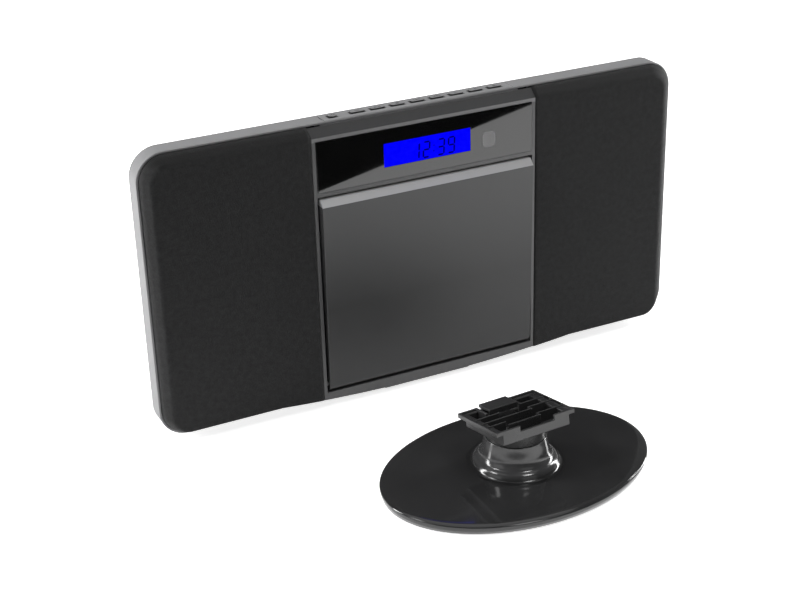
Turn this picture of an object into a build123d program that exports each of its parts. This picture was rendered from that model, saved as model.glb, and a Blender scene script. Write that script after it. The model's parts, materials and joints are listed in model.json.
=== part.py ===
from build123d import *
import os
from math import acos, cos, pi, radians, sin, sqrt, tan

# Slim mini hifi system: a wide flat cabinet standing on its lower edge, with two cloth speaker
# grilles, a display, a disc bay behind a drop-down door and a row of keys along the top. Its oval
# table stand is taken off and lies on the table in front of it.
# Millimetres. +X is to the listener's right, +Y is to the back and +Z is up. Z = 0 is the table,
# Y = 0 is the front edge of the cabinet band and X = 0 is its middle.

os.makedirs("parts", exist_ok=True)

# ---- cabinet outline ----
cabinet_width = 410.0
cabinet_height = 210.7
corner_radius = 20.0
bow_drop = 5.5  # the lower edge bows down by this much in the middle
bow_half = 118.0  # half the width of the bowed stretch
wall = 1.8
band_depth = 14.4

# ---- front face ----
face_proud = 7.2  # the grilles and the centre frame stand this far in front of the band
face_gap = 0.7  # dark line between the band's lip and the front parts
bevel_start = 1.0  # the front bevel begins this far in front of the band
bevel_side = 6.0
bevel_top = 5.5
bevel_bottom = 2.0
frame_strip = 2.5  # width of the thin strips beside the disc door
part_gap = 0.5  # between the centre frame and each grille
cloth_thickness = 0.8
grille_rib = 3.0
grille_rim = 7.0
fit_gap = 0.3  # loose fit between mouldings that only sit beside each other

# ---- baffle and speakers ----
baffle_front = 4.0
baffle_thickness = 2.5
cone_opening = 33.0
basket_radius = 37.0
basket_depth = 13.5
cone_mouth = 28.0
cone_neck = 8.0
magnet_radius = 17.0
magnet_depth = 10.0

# ---- rear cover ----
wing_depth = 40.0  # the two wings end here
wing_inset = 14.0  # and are this much smaller all round
hump_half = 88.0
hump_below_top = 28.7
hump_bevel = 18.0
boss_radius = 3.6
screw_radius = 1.2
screw_head = 2.8
screw_head_height = 1.6

# ---- display ----
window_side = 3.1  # from the window's ends to the sides of the centre frame
window_below_top = 10.9
window_height = 35.9
ledge_bar = 3.4
window_proud = 0.5
window_thickness = 2.0
window_seat = 2.6  # width of the ledge the window lies on
lcd_half = 33.3
lcd_rise = 9.3  # from the window's lower edge
lcd_height = 16.7
board_thickness = 1.6
receiver_x = 48.2
receiver_rise = 15.0

# ---- keys along the top ----
strip_front = 1.0
strip_width = 12.0
strip_slit = 0.7
strip_flange = 1.2
key_y = 7.4
key_length = 10.5
key_width = 4.6
key_rise = 1.0
key_travel = 0.8
key_play = 0.35  # clearance round each key cap
key_pitch = 15.15
power_key_step = 18.5  # from the power key to the first long key
strip_left_end = 8.2  # from the power key's middle to the strip's end
strip_right_end = 11.25
power_key_radius = 3.0
key_names = ["source", "play", "stop", "previous", "next", "volume_down", "volume_up", "open"]

# ---- disc door ----
door_half = 82.0
door_gap = 1.5
chin_slot = 0.9  # height of the slot that lightens the frame's lower bar
hinge_y = -4.3
hinge_z = 18.7
hinge_roll = 4.7  # the door's lower edge is rounded to this radius about its hinge
door_lean = 3.1  # the face stands this much prouder at its top edge
door_bevel_y = 4.1
door_bevel_z = 4.5
door_back = 2.5
door_skin = 2.4
pin_radius = 1.6
running_fit = 0.05

# ---- disc deck ----
deck_front = 9.0
deck_thickness = 2.0
disc_radius = 60.0
disc_play = 4.0
disc_tray_front = 2.0
hub_radius = 15.0
hub_nose = 7.3
hub_seat = 5.4
motor_radius = 12.0
motor_depth = 9.0
shaft_radius = 1.0
lens_x = 25.0
sled_travel = 33.0
sled_length = 16.0
sled_height = 24.0
sled_front = 12.0
sled_depth = 8.0
rod_radius = 1.5
rod_spread = 18.0
lug_width = 4.0
gear_module = 0.8
gear_teeth = 20
gear_width = 3.0
gear_x = 50.0
backlash = 0.06
pressure_angle = radians(20)

# ---- dock and stand ----
clip_width = 60.0
clip_length = 46.5
clip_height = 10.0
clip_tilt = 8.5  # the cabinet leans back by this angle on the stand, in degrees
clip_top = 45.0
clip_flange = 3.2
clip_body_width = 51.0
clip_wall = 1.6
dock_play = 0.8
dock_wall = 1.8
stand_x = -10.5
stand_y = -145.0
stand_turn = 4.0  # the stand is turned by this angle on the table, in degrees
base_half_length = 95.7
base_half_width = 68.7
base_rim = 5.0
base_lift = 0.8
base_crown = 8.2
base_wall = 2.2
neck_foot = 30.6
neck_flare = 7.8
neck_top_radius = 20.5
neck_top = 28.5
neck_bore = 17.5
collar_radius = 19.8
bolt_radius = 2.5
foot_radius = 6.0

# ---- worked out from the values above ----
half_width = cabinet_width / 2
centre_half = door_half + door_gap + frame_strip
window_half = centre_half - window_side
window_high = cabinet_height - window_below_top
window_low = window_high - window_height
ledge_low = window_low - ledge_bar
lcd_low = window_low + lcd_rise
lcd_high = lcd_low + lcd_height
receiver_z = window_low + receiver_rise
speaker_height = (bow_drop + cabinet_height) / 2
bow_radius = (bow_half**2 + bow_drop**2) / (2 * bow_drop)
baffle_back = baffle_front + baffle_thickness
speaker_x = (centre_half + half_width) / 2
lip_inset = wall + face_gap
wing_inside = wing_depth - wall
dock_half = clip_width / 2 + dock_play
dock_front = deck_front + fit_gap + dock_wall
dock_end = dock_front + clip_length + 2 * dock_play
dock_roof = clip_height + 1.2
hump_inside = dock_end + dock_wall + fit_gap
hump_depth = hump_inside + wall
seam_x = centre_half + part_gap
boss_x_outer = half_width - wing_inset - 11
boss_x_inner = centre_half + 14
boss_low = bow_drop + wing_inset + 11
boss_high = cabinet_height - wing_inset - 11
boss_heights = (boss_low, boss_high)
boss_points = [(s * x, z) for s in (-1, 1) for x in (boss_x_inner, boss_x_outer) for z in boss_heights]
deck_back = deck_front + deck_thickness
strip_half = (strip_left_end + power_key_step + (len(key_names) - 1) * key_pitch + strip_right_end) / 2
power_key_x = strip_left_end - strip_half
first_key_x = power_key_x + power_key_step
strip_back = strip_front + strip_width
hump_height = cabinet_height - hump_below_top
strip_under = cabinet_height - wall
door_bottom = hinge_z - hinge_roll
door_face_bottom = hinge_y - hinge_roll
door_face_y = door_face_bottom - door_lean
door_top = ledge_low - door_gap
door_face_top = door_top - door_bevel_z
disc_z = (door_bottom + door_top) / 2
chin_top = door_bottom - door_gap


def back_plane(y):
    """Plane facing the front at depth y. Its sketch axes are X and Z and it extrudes forwards."""
    return Plane.XZ.offset(-y)


def outline(side, top, bottom, mode=Mode.ADD):
    """The cabinet's outline, drawn in from each side, from the top and from the bottom."""
    half = half_width - side
    high = cabinet_height - top
    low = bow_drop + bottom
    r = corner_radius - max(side, top)
    bow = sqrt((bow_radius - bottom) ** 2 - (bow_radius - low) ** 2)
    with BuildLine() as edge:
        Line((-half, low + r), (-half, high - r))
        CenterArc((-half + r, high - r), r, 90, 90)
        Line((-half + r, high), (half - r, high))
        CenterArc((half - r, high - r), r, 0, 90)
        Line((half, high - r), (half, low + r))
        CenterArc((half - r, low + r), r, 270, 90)
        Line((half - r, low), (bow, low))
        ThreePointArc((bow, low), (0, bottom), (-bow, low))
        Line((-bow, low), (-half + r, low))
        CenterArc((-half + r, low + r), r, 180, 90)
    make_face(edge.edges(), mode=mode)


def face_body(shrink, back):
    """The bevelled front body, made smaller all over by shrink, reaching back to depth back."""
    inset = lip_inset + shrink
    with BuildSketch(back_plane(back)) as rear:
        outline(inset, inset, inset)
    extrude(rear.sketch, amount=back + bevel_start)
    with BuildSketch(back_plane(-bevel_start)) as middle:
        outline(inset, inset, inset)
    with BuildSketch(back_plane(shrink - face_proud)) as front:
        outline(inset + bevel_side, inset + bevel_top, inset + bevel_bottom)
    loft([middle.sketch, front.sketch], ruled=True)


def block(x, y, z, mode=Mode.ADD):
    """A box given by its two ends along X, Y and Z."""
    with Locations(((x[0] + x[1]) / 2, (y[0] + y[1]) / 2, (z[0] + z[1]) / 2)):
        Box(x[1] - x[0], y[1] - y[0], z[1] - z[0], mode=mode)


def rod_y(x, z, radius, y0, y1, mode=Mode.ADD):
    """A round bar along Y from y0 to y1."""
    with BuildSketch(back_plane(y1)) as end:
        with Locations((x, z)):
            Circle(radius)
    extrude(end.sketch, amount=y1 - y0, mode=mode)


def rod_x(y, z, radius, x0, x1, mode=Mode.ADD):
    """A round bar along X from x0 to x1."""
    with BuildSketch(Plane.YZ.offset(x0)) as end:
        with Locations((y, z)):
            Circle(radius)
    extrude(end.sketch, amount=x1 - x0, mode=mode)


# ======== cabinet ========

with BuildPart() as front_housing:
    with BuildSketch(back_plane(band_depth)):
        outline(0, 0, 0)
    extrude(amount=band_depth)
    with BuildSketch(back_plane(baffle_front)):
        outline(wall, wall, wall)
    extrude(amount=baffle_front, mode=Mode.SUBTRACT)
    with BuildSketch(back_plane(band_depth)):
        outline(wall, wall, wall)
    extrude(amount=band_depth - baffle_back, mode=Mode.SUBTRACT)
    with BuildSketch(back_plane(baffle_back)):
        outline(wall, wall, wall)
        with Locations((0, cabinet_height / 2)):
            Rectangle(2 * (centre_half + fit_gap), 2 * cabinet_height, mode=Mode.INTERSECT)
    extrude(amount=baffle_thickness, mode=Mode.SUBTRACT)
    with BuildSketch(back_plane(baffle_back)):
        with Locations((-speaker_x, speaker_height), (speaker_x, speaker_height)):
            Circle(cone_opening)
    extrude(amount=baffle_thickness, mode=Mode.SUBTRACT)
    with BuildSketch(back_plane(wing_inside)):
        with Locations(*boss_points):
            Circle(boss_radius)
    extrude(amount=wing_inside - baffle_back)
    with BuildSketch(back_plane(wing_inside)):
        with Locations(*boss_points):
            Circle(screw_radius)
    extrude(amount=wing_inside - baffle_back, mode=Mode.SUBTRACT)
    block((-strip_half - strip_slit, strip_half + strip_slit), (strip_front, strip_back),
          (strip_under - 1, cabinet_height + 1), Mode.SUBTRACT)
    block((-dock_half - dock_wall - 2, dock_half + dock_wall + 2), (0, band_depth), (0, wall))
    block((-dock_half - dock_wall - fit_gap, dock_half + dock_wall + fit_gap),
          (dock_front - dock_wall - fit_gap, band_depth + 1), (-1, wall + bow_drop), Mode.SUBTRACT)
front_housing.part.label = "front_housing"
export_step(front_housing.part, "parts/front_housing.step")


def rear_body(shrink, back_wall):
    """The tapered wings and the middle hump of the rear cover, made smaller all over by shrink."""
    with BuildSketch(back_plane(band_depth)) as front:
        outline(shrink, shrink, shrink)
    with BuildSketch(back_plane(wing_depth - back_wall)) as rear:
        outline(wing_inset + shrink, wing_inset + shrink, wing_inset + shrink)
    loft([front.sketch, rear.sketch], ruled=True)
    with BuildSketch(Plane.YZ.offset(-hump_half + shrink)) as section:
        with BuildLine():
            Polyline(
                (band_depth, shrink),
                (hump_depth - shrink, shrink),
                (hump_depth - shrink, hump_height - hump_bevel - shrink / 2),
                (hump_depth - hump_bevel - shrink / 2, hump_height - shrink),
                (band_depth, hump_height - shrink),
                close=True,
            )
        make_face()
    extrude(section.sketch, amount=2 * (hump_half - shrink))


keyhole_spacing = 120.0
keyhole_z = hump_height - 42
keyhole_head = 4.2
keyhole_slot = 2.1
keyhole_rise = 8.0
inlet_x = 34.0
jack_x = -34.0
socket_z = 40.0
socket_bushing = 4.0
post_radius = 3.5
board_y = 32.0
board_half = 78.0
board_low = 28.0
board_high = hump_height - 14
post_points = [(s * (board_half - 6), z) for s in (-1, 1) for z in (board_low + 6, board_high - 6)]
vent_width = 2.0
vent_height = 34.0
vent_pitch = 5.0
vent_count = 9

with BuildPart() as rear_inside:
    rear_body(wall, wall)

with BuildPart() as rear_cover:
    rear_body(0, 0)
    add(rear_inside.part, mode=Mode.SUBTRACT)
    with BuildSketch(back_plane(wing_depth + 1)):
        with Locations(*boss_points):
            Circle(screw_radius + fit_gap)
    extrude(amount=wall + 2, mode=Mode.SUBTRACT)
    with BuildSketch(back_plane(hump_inside)):
        with Locations(*post_points):
            Circle(post_radius)
    extrude(amount=hump_inside - board_y - board_thickness)
    with BuildSketch(back_plane(hump_depth + 1)):
        with Locations((-keyhole_spacing / 2, keyhole_z), (keyhole_spacing / 2, keyhole_z)):
            Circle(keyhole_head)
            with Locations((0, keyhole_rise / 2)):
                SlotOverall(keyhole_rise + 2 * keyhole_slot, 2 * keyhole_slot, rotation=90)
        with Locations((inlet_x, socket_z), (jack_x, socket_z)):
            Circle(socket_bushing + fit_gap / 2)
        with Locations((0, keyhole_z)):
            with GridLocations(vent_pitch, 1, vent_count, 1):
                SlotOverall(vent_height, vent_width, rotation=90)
    extrude(amount=wall + 2, mode=Mode.SUBTRACT)
    block((-dock_half - dock_wall - fit_gap, dock_half + dock_wall + fit_gap),
          (band_depth - 1, dock_end + dock_wall + fit_gap), (-1, wall + 1), Mode.SUBTRACT)
rear_cover.part.label = "rear_cover"
export_step(rear_cover.part, "parts/rear_cover.step")

screw_length = 12.0
with BuildPart() as case_screws:
    with BuildSketch(back_plane(wing_depth)):
        with Locations(*boss_points):
            Circle(screw_radius)
    extrude(amount=screw_length)
    with BuildSketch(back_plane(wing_depth + screw_head_height)):
        with Locations(*boss_points):
            Circle(screw_head)
    extrude(amount=screw_head_height)
case_screws.part.label = "case_screws"
export_step(case_screws.part, "parts/case_screws.step")

with BuildPart() as dock_socket:
    block((-dock_half - dock_wall, dock_half + dock_wall), (dock_front - dock_wall, dock_end + dock_wall),
          (0, dock_roof + dock_wall))
    block((-dock_half, dock_half), (dock_front, dock_end), (-1, dock_roof), Mode.SUBTRACT)
dock_socket.part.label = "dock_socket"
export_step(dock_socket.part, "parts/dock_socket.step")

# ======== speaker grilles ========

with BuildPart() as grille_core:
    face_body(cloth_thickness, baffle_front)
    block((-cabinet_width, -seam_x - cloth_thickness), (-face_proud - 1, baffle_front),
          (-1, cabinet_height + 1), Mode.INTERSECT)

with BuildPart() as left_grille_cloth:
    face_body(0, baffle_front)
    block((-cabinet_width, -seam_x), (-face_proud - 1, baffle_front), (-1, cabinet_height + 1),
          Mode.INTERSECT)
    add(grille_core.part, mode=Mode.SUBTRACT)

grille_inner = seam_x + cloth_thickness + grille_rim
grille_outer = half_width - lip_inset - cloth_thickness - bevel_side - grille_rim
grille_low = bow_drop + lip_inset + cloth_thickness + bevel_bottom + grille_rim
grille_high = cabinet_height - lip_inset - cloth_thickness - bevel_top - grille_rim
grille_columns = 3
grille_rows = 5
cell_x = (grille_outer - grille_inner + grille_rib) / grille_columns
cell_z = (grille_high - grille_low + grille_rib) / grille_rows

with BuildPart() as left_grille_frame:
    add(grille_core.part)
    with BuildSketch(back_plane(baffle_front)):
        with Locations((-(grille_inner + grille_outer) / 2, (grille_low + grille_high) / 2)):
            with GridLocations(cell_x, cell_z, grille_columns, grille_rows):
                RectangleRounded(cell_x - grille_rib, cell_z - grille_rib, 2.5)
    extrude(amount=baffle_front + face_proud, mode=Mode.SUBTRACT)

with BuildPart() as right_grille_cloth:
    mirror(left_grille_cloth.part, about=Plane.YZ)

with BuildPart() as right_grille_frame:
    mirror(left_grille_frame.part, about=Plane.YZ)

left_grille_cloth.part.label = "left_grille_cloth"
left_grille_frame.part.label = "left_grille_frame"
right_grille_cloth.part.label = "right_grille_cloth"
right_grille_frame.part.label = "right_grille_frame"
export_step(left_grille_cloth.part, "parts/left_grille_cloth.step")
export_step(left_grille_frame.part, "parts/left_grille_frame.step")
export_step(right_grille_cloth.part, "parts/right_grille_cloth.step")
export_step(right_grille_frame.part, "parts/right_grille_frame.step")

# ======== loudspeakers ========

basket_front = baffle_back
basket_lip = 1.8
basket_back = basket_front + basket_depth
magnet_back = basket_back + magnet_depth
spoke_count = 4


def ring_section(points):
    """Closed outline of a turned part, as points of radius and depth."""
    with BuildLine() as edge:
        Polyline(*points, close=True)
    make_face(edge.edges())


for side, x in (("left", -speaker_x), ("right", speaker_x)):
    section = Plane(origin=(x, 0, speaker_height), x_dir=(1, 0, 0), z_dir=(0, 0, 1))
    axis = Axis((x, 0, speaker_height), (0, 1, 0))

    with BuildPart() as basket:
        with BuildSketch(section):
            ring_section([
                (cone_mouth + 3, basket_front),
                (basket_radius, basket_front),
                (basket_radius, basket_front + basket_lip),
                (cone_mouth + 4.5, basket_front + basket_lip),
                (magnet_radius - 2, basket_back),
                (cone_neck, basket_back),
                (cone_neck, basket_back - 1.2),
                (magnet_radius - 3, basket_back - 1.2),
            ])
        revolve(axis=axis)
        with BuildSketch(back_plane(basket_back)):
            with Locations((x, speaker_height)):
                with PolarLocations(magnet_radius + 6, spoke_count, start_angle=45):
                    RectangleRounded(8, 20, 3)
        extrude(amount=basket_depth - 2 * basket_lip, mode=Mode.SUBTRACT)
    basket.part.label = f"{side}_speaker_basket"
    export_step(basket.part, f"parts/{side}_speaker_basket.step")

    with BuildPart() as cone:
        with BuildSketch(section):
            ring_section([
                (0, basket_back - 5.0),
                (cone_neck - 1, basket_back - 3.6),
                (cone_mouth, basket_front + 0.6),
                (cone_mouth + 3, basket_front),
                (cone_mouth + 3, basket_front - 0.8),
                (cone_mouth, basket_front - 0.6),
                (cone_neck, basket_back - 5.4),
                (cone_neck - 2, basket_back - 7.2),
                (0, basket_back - 8.4),
            ])
        revolve(axis=axis)
    cone.part.label = f"{side}_speaker_cone"
    export_step(cone.part, f"parts/{side}_speaker_cone.step")

    with BuildPart() as magnet:
        rod_y(x, speaker_height, magnet_radius, basket_back, magnet_back)
        rod_y(x, speaker_height, magnet_radius + 2, basket_back + 2, magnet_back - 2)
        rod_y(x, speaker_height, cone_neck - 2.5, basket_back, magnet_back, Mode.SUBTRACT)
    magnet.part.label = f"{side}_speaker_magnet"
    export_step(magnet.part, f"parts/{side}_speaker_magnet.step")

# ======== centre frame and display ========

frame_top_back = 0.0
frame_side_top = window_high - 4.0

with BuildPart() as centre_frame:
    face_body(0, deck_front)
    block((-centre_half, centre_half), (-face_proud - 1, deck_front), (-1, cabinet_height + 1),
          Mode.INTERSECT)
    block((-door_half - door_gap, door_half + door_gap), (-face_proud - 1, deck_front + 1),
          (chin_top, ledge_low), Mode.SUBTRACT)
    block((-window_half - 0.1, window_half + 0.1),
          (-face_proud - 1, window_thickness - window_proud - face_proud),
          (window_low - 0.1, window_high + 0.1), Mode.SUBTRACT)
    block((-window_half + window_seat, window_half - window_seat), (-face_proud - 1, deck_front + 1),
          (window_low + window_seat, window_high - window_seat), Mode.SUBTRACT)
    block((-centre_half - 1, centre_half + 1), (frame_top_back, deck_front + 1),
          (frame_side_top, cabinet_height), Mode.SUBTRACT)
    block((-centre_half + wall, centre_half - wall), (-face_proud + wall, deck_front + 1),
          (chin_top - wall - chin_slot, chin_top - wall), Mode.SUBTRACT)
    rod_x(hinge_y, hinge_z, pin_radius + running_fit, -centre_half - 1, centre_half + 1, Mode.SUBTRACT)
centre_frame.part.label = "centre_frame"
export_step(centre_frame.part, "parts/centre_frame.step")

window_front = -face_proud - window_proud
lcd_play = 0.1

with BuildPart() as display_window:
    block((-window_half, window_half), (window_front, window_front + window_thickness),
          (window_low, window_high))
    block((-lcd_half - lcd_play, lcd_half + lcd_play),
          (window_front - 1, window_front + window_thickness + 1),
          (lcd_low - lcd_play, lcd_high + lcd_play), Mode.SUBTRACT)
display_window.part.label = "display_window"
export_step(display_window.part, "parts/display_window.step")

lcd_front = window_front + 0.1
lcd_back = lcd_front + 3.2
backlight_back = lcd_back + 2.6
display_board_back = backlight_back + board_thickness
display_board_half = window_half - window_seat - fit_gap

with BuildPart() as lcd_panel:
    block((-lcd_half, lcd_half), (lcd_front, lcd_back), (lcd_low, lcd_high))
lcd_panel.part.label = "lcd_panel"
export_step(lcd_panel.part, "parts/lcd_panel.step")

with BuildPart() as lcd_backlight:
    block((-lcd_half - 2, lcd_half + 2), (lcd_back, backlight_back), (lcd_low - 2, lcd_high + 2))
lcd_backlight.part.label = "lcd_backlight"
export_step(lcd_backlight.part, "parts/lcd_backlight.step")

with BuildPart() as display_board:
    block((-display_board_half, display_board_half), (backlight_back, display_board_back),
          (window_low + window_seat + fit_gap, window_high - window_seat - fit_gap))
display_board.part.label = "display_board"
export_step(display_board.part, "parts/display_board.step")

with BuildPart() as ir_receiver:
    block((receiver_x - 4, receiver_x + 4), (lcd_back, backlight_back), (receiver_z - 4, receiver_z + 4))
    with BuildSketch(back_plane(lcd_back)):
        with Locations((receiver_x, receiver_z)):
            Circle(2.6)
    extrude(amount=0.8)
ir_receiver.part.label = "ir_receiver"
export_step(ir_receiver.part, "parts/ir_receiver.step")

# ======== keys ========

key_flange_top = strip_under - strip_flange - 0.2
key_flange_height = 1.1
key_flange_bottom = key_flange_top - key_flange_height
key_stem_radius = 1.5
key_stem_end = key_flange_bottom - 1.1
switch_top = key_stem_end - key_travel - 0.05
switch_button = 0.8
switch_body = 3.4
key_board_top = switch_top - switch_button - switch_body
strip_foot = 4.0
key_x = [first_key_x + i * key_pitch for i in range(len(key_names))]

with BuildPart() as button_strip:
    block((-strip_half, strip_half), (strip_front + 0.2, strip_back - 0.2), (strip_under, cabinet_height))
    block((-strip_half - strip_foot, strip_half + strip_foot), (strip_front - 0.7, strip_back + 0.7),
          (strip_under - strip_flange, strip_under))
    for s in (-1, 1):
        x0 = s * (strip_half + strip_foot / 2)
        block((x0 - strip_foot / 2, x0 + strip_foot / 2), (key_y - 3, key_y + 3),
              (key_board_top, strip_under - strip_flange))
    with BuildSketch(Plane.XY.offset(strip_under - strip_flange)):
        with Locations(*[(x, key_y) for x in key_x]):
            RectangleRounded(key_length + 2 * key_play, key_width + 2 * key_play, 2.2)
        with Locations((power_key_x, key_y)):
            Circle(power_key_radius + key_play)
    extrude(amount=wall + strip_flange, mode=Mode.SUBTRACT)
button_strip.part.label = "button_strip"
export_step(button_strip.part, "parts/button_strip.step")

for name, x in zip(["power"] + key_names, [power_key_x] + key_x):
    with BuildPart() as key:
        with BuildSketch(Plane.XY.offset(key_flange_top)):
            with Locations((x, key_y)):
                if name == "power":
                    Circle(power_key_radius)
                else:
                    RectangleRounded(key_length, key_width, 1.9)
        extrude(amount=cabinet_height + key_rise - key_flange_top)
        fillet(key.faces().sort_by(Axis.Z)[-1].edges(), 0.5)
        with BuildSketch(Plane.XY.offset(key_flange_bottom)):
            with Locations((x, key_y)):
                if name == "power":
                    Circle(power_key_radius + 1)
                else:
                    Rectangle(key_length + 2, key_width + 2)
        extrude(amount=key_flange_height)
        with BuildSketch(Plane.XY.offset(key_stem_end)):
            with Locations((x, key_y)):
                Circle(key_stem_radius)
        extrude(amount=key_flange_bottom - key_stem_end)
    key.part.label = f"{name}_button"
    export_step(key.part, f"parts/{name}_button.step")

with BuildPart() as button_board:
    block((-strip_half - strip_foot - 1, strip_half + strip_foot + 1), (key_y - 5.5, key_y + 5.5),
          (key_board_top - board_thickness, key_board_top))
button_board.part.label = "button_board"
export_step(button_board.part, "parts/button_board.step")

with BuildPart() as button_switches:
    with BuildSketch(Plane.XY.offset(key_board_top)):
        with Locations(*[(x, key_y) for x in [power_key_x] + key_x]):
            Rectangle(6, 6)
    extrude(amount=switch_body)
    with BuildSketch(Plane.XY.offset(key_board_top + switch_body)):
        with Locations(*[(x, key_y) for x in [power_key_x] + key_x]):
            Circle(1.6)
    extrude(amount=switch_button)
button_switches.part.label = "button_switches"
export_step(button_switches.part, "parts/button_switches.step")

# ======== disc door ========

pin_depth = 3.0

with BuildPart() as disc_door:
    with BuildSketch(Plane.YZ.offset(-door_half)):
        with BuildLine():
            Line((door_face_bottom, hinge_z), (door_face_y, door_face_top))
            Line((door_face_y, door_face_top), (door_face_y + door_bevel_y, door_top))
            Line((door_face_y + door_bevel_y, door_top), (-door_back, door_top))
            Line((-door_back, door_top), (hinge_y + hinge_roll, hinge_z))
            ThreePointArc((hinge_y + hinge_roll, hinge_z), (hinge_y, door_bottom),
                          (door_face_bottom, hinge_z))
        make_face()
    extrude(amount=2 * door_half)
    with BuildSketch(Plane.YZ.offset(-door_half + door_skin)):
        with BuildLine():
            Polyline(
                (door_face_bottom + door_skin, hinge_z + 2 * hinge_roll),
                (door_face_y + door_skin + 0.2, door_face_top - 1),
                (door_face_y + door_bevel_y + 0.6, door_top - door_skin),
                (deck_front, door_top - door_skin),
                (deck_front, hinge_z + 2 * hinge_roll),
                close=True,
            )
        make_face()
    extrude(amount=2 * (door_half - door_skin), mode=Mode.SUBTRACT)
    for s in (-1, 1):
        x0, x1 = sorted((s * (door_half - pin_depth), s * (door_half + 1)))
        rod_x(hinge_y, hinge_z, pin_radius, x0, x1, Mode.SUBTRACT)
disc_door.part.label = "disc_door"
export_step(disc_door.part, "parts/disc_door.step")

with BuildPart() as door_hinge_pins:
    for s in (-1, 1):
        x0, x1 = sorted((s * (door_half - pin_depth), s * (centre_half - fit_gap)))
        rod_x(hinge_y, hinge_z, pin_radius, x0, x1)
door_hinge_pins.part.label = "door_hinge_pins"
export_step(door_hinge_pins.part, "parts/door_hinge_pins.step")

# ======== disc deck ========

tray_half = door_half + door_gap - fit_gap
finger_half = 14.0
well_radius = disc_radius + disc_play
slot_half = 8.0
sled_x = lens_x - 6.5  # left face of the sled at rest
sled_end = sled_x + sled_length + sled_travel
slot_start = sled_x + 0.5
slot_end = sled_end + 0.5
lug_low_x = sled_x - 1.0 - lug_width
lug_high_x = sled_end + 1.5
rod_depth = sled_front + sled_depth / 2
lug_back = sled_front + sled_depth - 0.5
sled_back = sled_front + sled_depth
motor_back = deck_back + motor_depth
pitch_radius = gear_module * gear_teeth / 2
rack_pitch = pi * gear_module
addendum = gear_module
dedendum = 1.25 * gear_module
rack_line = disc_z - sled_height / 2 - 3.3
gear_z = rack_line - pitch_radius
gear_front = sled_back
gear_back = gear_front + gear_width
drive_motor_radius = 9.0
drive_motor_back = gear_front - 1.0

with BuildPart() as disc_tray:
    block((-tray_half, tray_half), (disc_tray_front, deck_front), (chin_top + fit_gap, ledge_low - fit_gap))
    rod_y(0, disc_z, well_radius, disc_tray_front - 1, deck_front + 1, Mode.SUBTRACT)
    block((-finger_half, finger_half), (disc_tray_front - 1, deck_front + 1),
          (chin_top + 8, ledge_low - 8), Mode.SUBTRACT)
disc_tray.part.label = "disc_tray"
export_step(disc_tray.part, "parts/disc_tray.step")

chassis_low = dock_roof + dock_wall + 2.5
with BuildPart() as deck_chassis:
    block((-centre_half, centre_half), (deck_front, deck_back), (chassis_low, ledge_low + 3))
    for x in (lug_low_x, lug_high_x):
        block((x, x + lug_width), (deck_back, lug_back), (disc_z - sled_height / 2, disc_z + sled_height / 2))
    block((slot_start, slot_end), (deck_front - 1, deck_back + 1), (disc_z - slot_half, disc_z + slot_half),
          Mode.SUBTRACT)
    rod_y(0, disc_z, shaft_radius + 2, deck_front - 1, deck_back + 1, Mode.SUBTRACT)
    for s in (-1, 1):
        rod_x(rod_depth, disc_z + s * rod_spread / 2, rod_radius, lug_low_x - 1, lug_high_x + lug_width + 1,
              Mode.SUBTRACT)
deck_chassis.part.label = "deck_chassis"
export_step(deck_chassis.part, "parts/deck_chassis.step")

with BuildPart() as sled_guide_rods:
    for s in (-1, 1):
        rod_x(rod_depth, disc_z + s * rod_spread / 2, rod_radius, lug_low_x, lug_high_x + lug_width)
sled_guide_rods.part.label = "sled_guide_rods"
export_step(sled_guide_rods.part, "parts/sled_guide_rods.step")

with BuildPart() as spindle_motor:
    rod_y(0, disc_z, motor_radius, deck_back, motor_back)
    rod_y(0, disc_z, shaft_radius + running_fit, deck_back - 1, motor_back + 1, Mode.SUBTRACT)
spindle_motor.part.label = "spindle_motor"
export_step(spindle_motor.part, "parts/spindle_motor.step")

hub_back = deck_front - 0.6
hub_front = disc_tray_front - 0.4
with BuildPart() as turntable_hub:
    rod_y(0, disc_z, hub_radius, hub_seat, hub_back)
    rod_y(0, disc_z, hub_nose, hub_front, hub_seat)
    fillet(turntable_hub.faces().sort_by(Axis.Y)[0].edges(), 1.2)
    rod_y(0, disc_z, shaft_radius, hub_front + 2, hub_back + 1, Mode.SUBTRACT)
turntable_hub.part.label = "turntable_hub"
export_step(turntable_hub.part, "parts/turntable_hub.step")

with BuildPart() as spindle_shaft:
    rod_y(0, disc_z, shaft_radius, hub_front + 2, motor_back + 1)
spindle_shaft.part.label = "spindle_shaft"
export_step(spindle_shaft.part, "parts/spindle_shaft.step")

turret_half = 5.0
with BuildPart() as optical_sled:
    block((sled_x, sled_x + sled_length), (sled_front, sled_back),
          (disc_z - sled_height / 2, disc_z + sled_height / 2))
    block((lens_x - turret_half, lens_x + turret_half), (deck_front - 0.5, sled_front),
          (disc_z - slot_half + 1.5, disc_z + slot_half - 1.5))
    for s in (-1, 1):
        rod_x(rod_depth, disc_z + s * rod_spread / 2, rod_radius + running_fit, sled_x - 1,
              sled_x + sled_length + 1, Mode.SUBTRACT)
optical_sled.part.label = "optical_sled"
export_step(optical_sled.part, "parts/optical_sled.step")

with BuildPart() as sled_lens:
    rod_y(lens_x, disc_z, 2.6, deck_front - 1.8, deck_front - 0.5)
sled_lens.part.label = "sled_lens"
export_step(sled_lens.part, "parts/sled_lens.step")

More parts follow.
